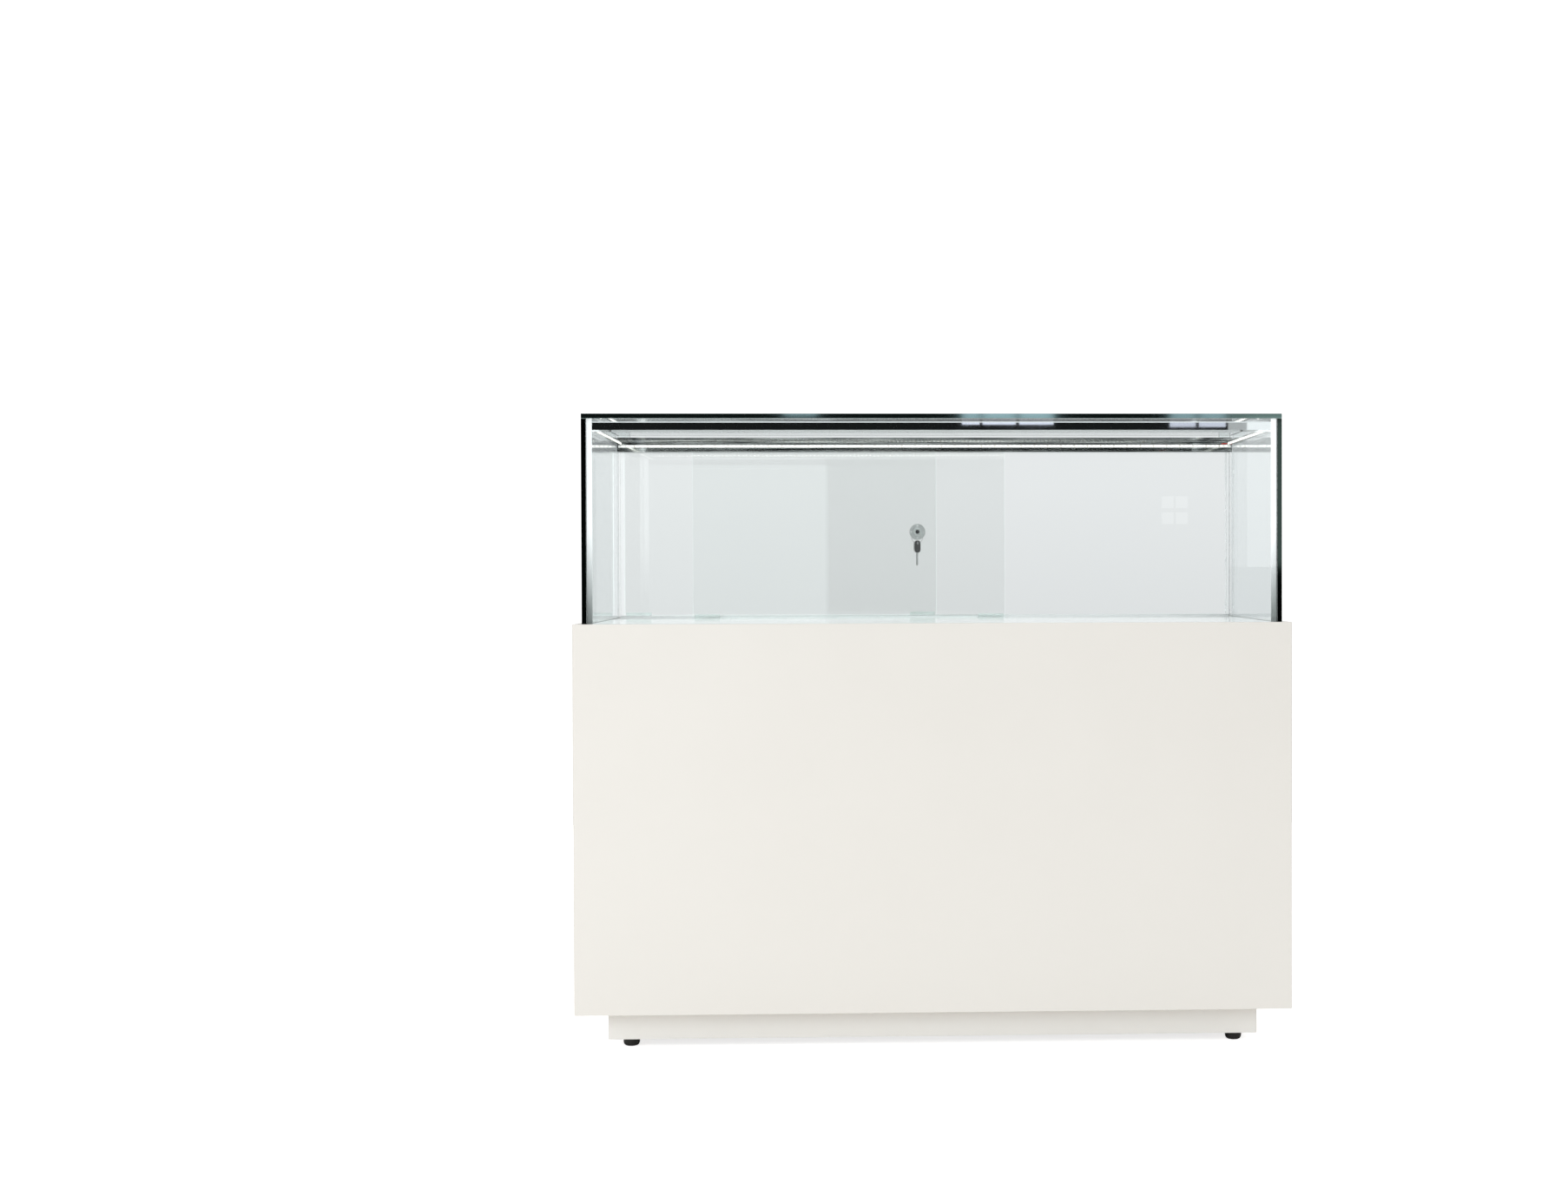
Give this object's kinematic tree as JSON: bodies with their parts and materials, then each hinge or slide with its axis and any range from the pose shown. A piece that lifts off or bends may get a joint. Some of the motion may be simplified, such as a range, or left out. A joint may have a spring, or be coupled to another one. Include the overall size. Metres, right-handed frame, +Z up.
{
  "type": "glass display case",
  "caption": "Free-standing showcase: frameless glass hood with sliding locking rear doors, lamp bars under its top, white closed body, recessed plinth and levelling feet.",
  "frame": {"origin": "centre of the footprint on the floor", "axes": "+X along the front from left to right, +Z up; the front faces -Y and the sliding doors are on the +Y side"},
  "size_m": [1.2, 0.5019, 1.065],
  "materials": {
    "white_lacquer": "satin lacquer on fibreboard",
    "gloss_deck": "gloss laminate",
    "raw_board": "raw fibreboard",
    "hood_glass": "clear float glass, dark green polished edges",
    "door_glass": "clear float glass, faint green tint",
    "polished_aluminium": "polished",
    "satin_aluminium": "satin anodised",
    "jamb_plastic": "smooth, near white",
    "shoe_plastic": "grey, slightly translucent",
    "grey_seal": "matt grey",
    "lamp_diffuser": "opal",
    "clear_block": "clear acrylic",
    "foot_plastic": "black, fine grain",
    "lock_nickel": "satin nickel",
    "lock_dark": "dark nickel",
    "key_nickel": "worn nickel",
    "ring_steel": "plated",
    "red_wire": "insulated wire",
    "white_wire": "insulated wire",
    "driver_plastic": "moulded case",
    "black_plastic": "moulded, fine grain"
  },
  "bodies": {
    "cabinet": {"front_panel": "white_lacquer", "left_panel": "white_lacquer", "right_panel": "white_lacquer", "back_panel": "white_lacquer", "plinth_front": "white_lacquer", "plinth_back": "white_lacquer", "plinth_left": "white_lacquer", "plinth_right": "white_lacquer", "deck_board": "gloss_deck", "base_board": "raw_board", "centre_divider": "raw_board", "glass_ledge": "raw_board", "corner_block_front_left": "raw_board", "corner_block_front_right": "raw_board", "corner_block_back_left": "raw_board", "corner_block_back_right": "raw_board", "front_pane": "hood_glass", "left_pane": "hood_glass", "right_pane": "hood_glass", "top_pane": "hood_glass", "corner_strip_left": "polished_aluminium", "corner_strip_right": "polished_aluminium", "lamp_bar_front": "polished_aluminium", "lamp_bar_back": "polished_aluminium", "lamp_bar_left": "polished_aluminium", "lamp_bar_right": "polished_aluminium", "top_track": "satin_aluminium", "bottom_track": "satin_aluminium", "jamb_left": "jamb_plastic", "jamb_right": "jamb_plastic", "hood_seal": "grey_seal", "lamp_strip_front": "lamp_diffuser", "lamp_strip_back": "lamp_diffuser", "lamp_strip_left": "lamp_diffuser", "lamp_strip_right": "lamp_diffuser", "bar_spacer_left": "clear_block", "bar_spacer_right": "clear_block", "lamp_jumper": "red_wire", "supply_lead": "white_wire", "lamp_driver": "driver_plastic", "cable_gland": "black_plastic", "switch_case": "black_plastic"},
    "outer_door": {"outer_door_glass": "door_glass", "outer_door_shoe_left": "shoe_plastic", "outer_door_shoe_right": "shoe_plastic", "lock_nut": "lock_nickel", "lock_housing": "lock_nickel"},
    "inner_door": {"inner_door_glass": "door_glass", "inner_door_shoe_left": "shoe_plastic", "inner_door_shoe_right": "shoe_plastic"},
    "lock_plug": {"lock_plug": "lock_dark"},
    "key": {"key": "key_nickel"},
    "key_ring": {"key_ring": "ring_steel"},
    "spare_key": {"spare_key": "key_nickel"},
    "switch_rocker": {"switch_rocker": "black_plastic"},
    "foot_front_left": {"foot_front_left": "foot_plastic"},
    "foot_front_right": {"foot_front_right": "foot_plastic"},
    "foot_back_left": {"foot_back_left": "foot_plastic"},
    "foot_back_right": {"foot_back_right": "foot_plastic"}
  },
  "joints": [
    {"name": "outer_door_slide", "type": "slide", "parent": "cabinet", "child": "outer_door", "axis": [1, 0, 0], "range_m": [0, 0.546]},
    {"name": "inner_door_slide", "type": "slide", "parent": "cabinet", "child": "inner_door", "axis": [1, 0, 0], "range_m": [-0.127, 0.419]},
    {"name": "lock_turn", "type": "hinge", "parent": "outer_door", "child": "lock_plug", "pos_m": [-0.0162, 0.22, 0.8755], "axis": [0, 1, 0], "range_deg": [0, 90]},
    {"name": "key_withdraw", "type": "slide", "parent": "lock_plug", "child": "key", "axis": [0, 1, 0], "range_m": [0, 0.012]},
    {"name": "key_ring_swing", "type": "hinge", "parent": "key", "child": "key_ring", "pos_m": [-0.0162, 0.2422, 0.8755], "axis": [1, 0, 0], "range_deg": [-10, 70]},
    {"name": "spare_key_swing", "type": "hinge", "parent": "key_ring", "child": "spare_key", "pos_m": [-0.0162, 0.2422, 0.8545], "axis": [1, 0, 0], "range_deg": [-5, 60]},
    {"name": "switch_rock", "type": "hinge", "parent": "cabinet", "child": "switch_rocker", "pos_m": [0.43, 0.238, 0.15], "axis": [1, 0, 0], "range_deg": [-14, 0]},
    {"name": "foot_front_left_turn", "type": "hinge", "parent": "cabinet", "child": "foot_front_left", "pos_m": [-0.513, -0.178, 0.02], "axis": [0, 0, 1], "continuous": true},
    {"name": "foot_front_right_turn", "type": "hinge", "parent": "cabinet", "child": "foot_front_right", "pos_m": [0.513, -0.178, 0.02], "axis": [0, 0, 1], "continuous": true},
    {"name": "foot_back_left_turn", "type": "hinge", "parent": "cabinet", "child": "foot_back_left", "pos_m": [-0.513, 0.178, 0.02], "axis": [0, 0, 1], "continuous": true},
    {"name": "foot_back_right_turn", "type": "hinge", "parent": "cabinet", "child": "foot_back_right", "pos_m": [0.513, 0.178, 0.02], "axis": [0, 0, 1], "continuous": true}
  ]
}
